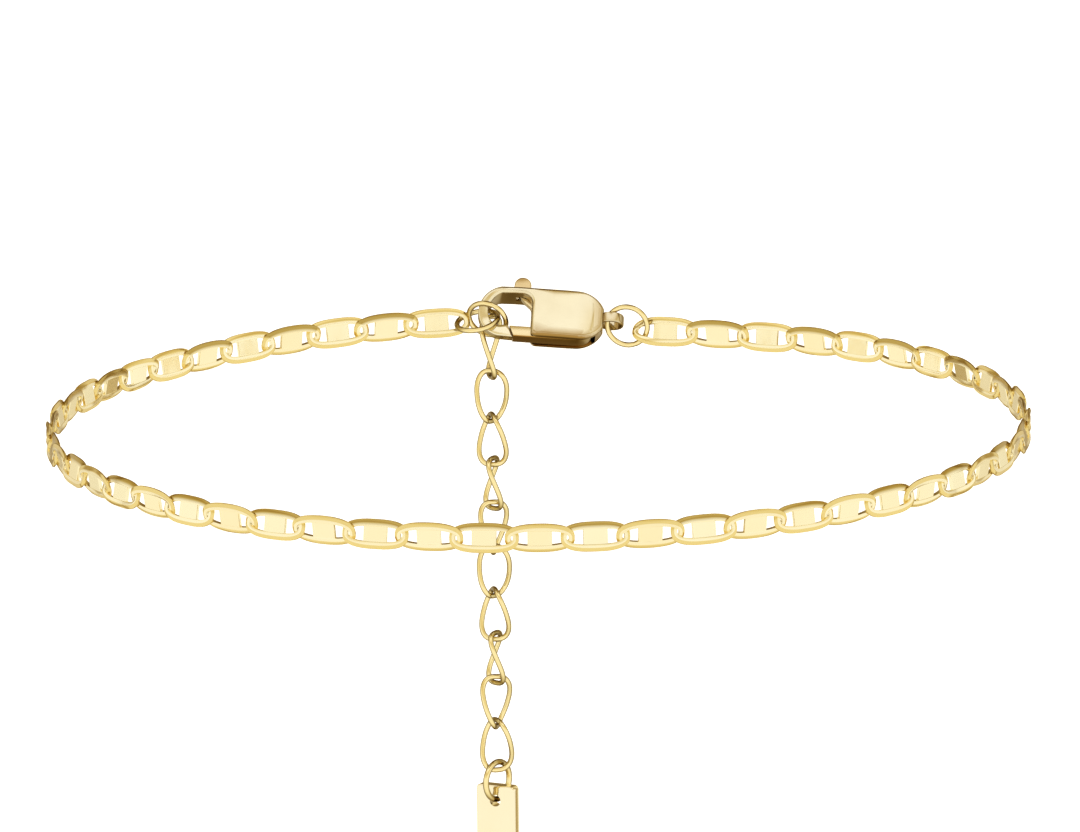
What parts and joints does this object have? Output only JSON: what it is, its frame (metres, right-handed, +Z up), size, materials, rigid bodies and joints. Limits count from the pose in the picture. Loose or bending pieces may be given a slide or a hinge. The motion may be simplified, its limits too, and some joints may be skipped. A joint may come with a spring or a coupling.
{
  "type": "anklet",
  "caption": "Chain anklet of flat two-window links, closed by a trigger clasp, with a hanging extender chain that ends in a plain bar tag",
  "frame": {"origin": "centre of the loop that goes round the ankle, at mid height of its links", "axes": "+Z up along the leg, -Y the front of the loop, +Y the clasp at the back, +X towards the clasp's tail"},
  "size_m": [0.0736, 0.0752, 0.0483],
  "materials": {
    "chain_gold": "polished faceted links",
    "clasp_gold": "mirror polish",
    "lever_gold": "bright",
    "ring_gold": "polished wire",
    "extender_gold": "polished wire",
    "tag_gold": "mirror polish",
    "pin_gold": "plain"
  },
  "bodies": {
    "anklet": {"chain_right": "chain_gold", "chain_left": "chain_gold", "clasp_body": "clasp_gold", "pivot_pin": "pin_gold", "chain_ring": "ring_gold", "extender_ring": "ring_gold", "tail_ring": "ring_gold", "tag_ring": "ring_gold", "tag": "tag_gold", "extender_link_01": "extender_gold", "extender_link_02": "extender_gold", "extender_link_03": "extender_gold", "extender_link_04": "extender_gold", "extender_link_05": "extender_gold", "extender_link_06": "extender_gold", "extender_link_07": "extender_gold", "extender_link_08": "extender_gold", "extender_link_09": "extender_gold", "extender_link_10": "extender_gold"},
    "lever": {"clasp_lever": "lever_gold"}
  },
  "joints": [
    {"name": "lever_pivot", "type": "hinge", "parent": "anklet", "child": "lever", "pos_m": [0.00166, 0.03517, -0.00047], "axis": [-0.0504, 0.809, -0.5856], "range_deg": [0, 16], "stiffness_Nm_per_rad": 0.002, "springref_deg": -11.46}
  ]
}
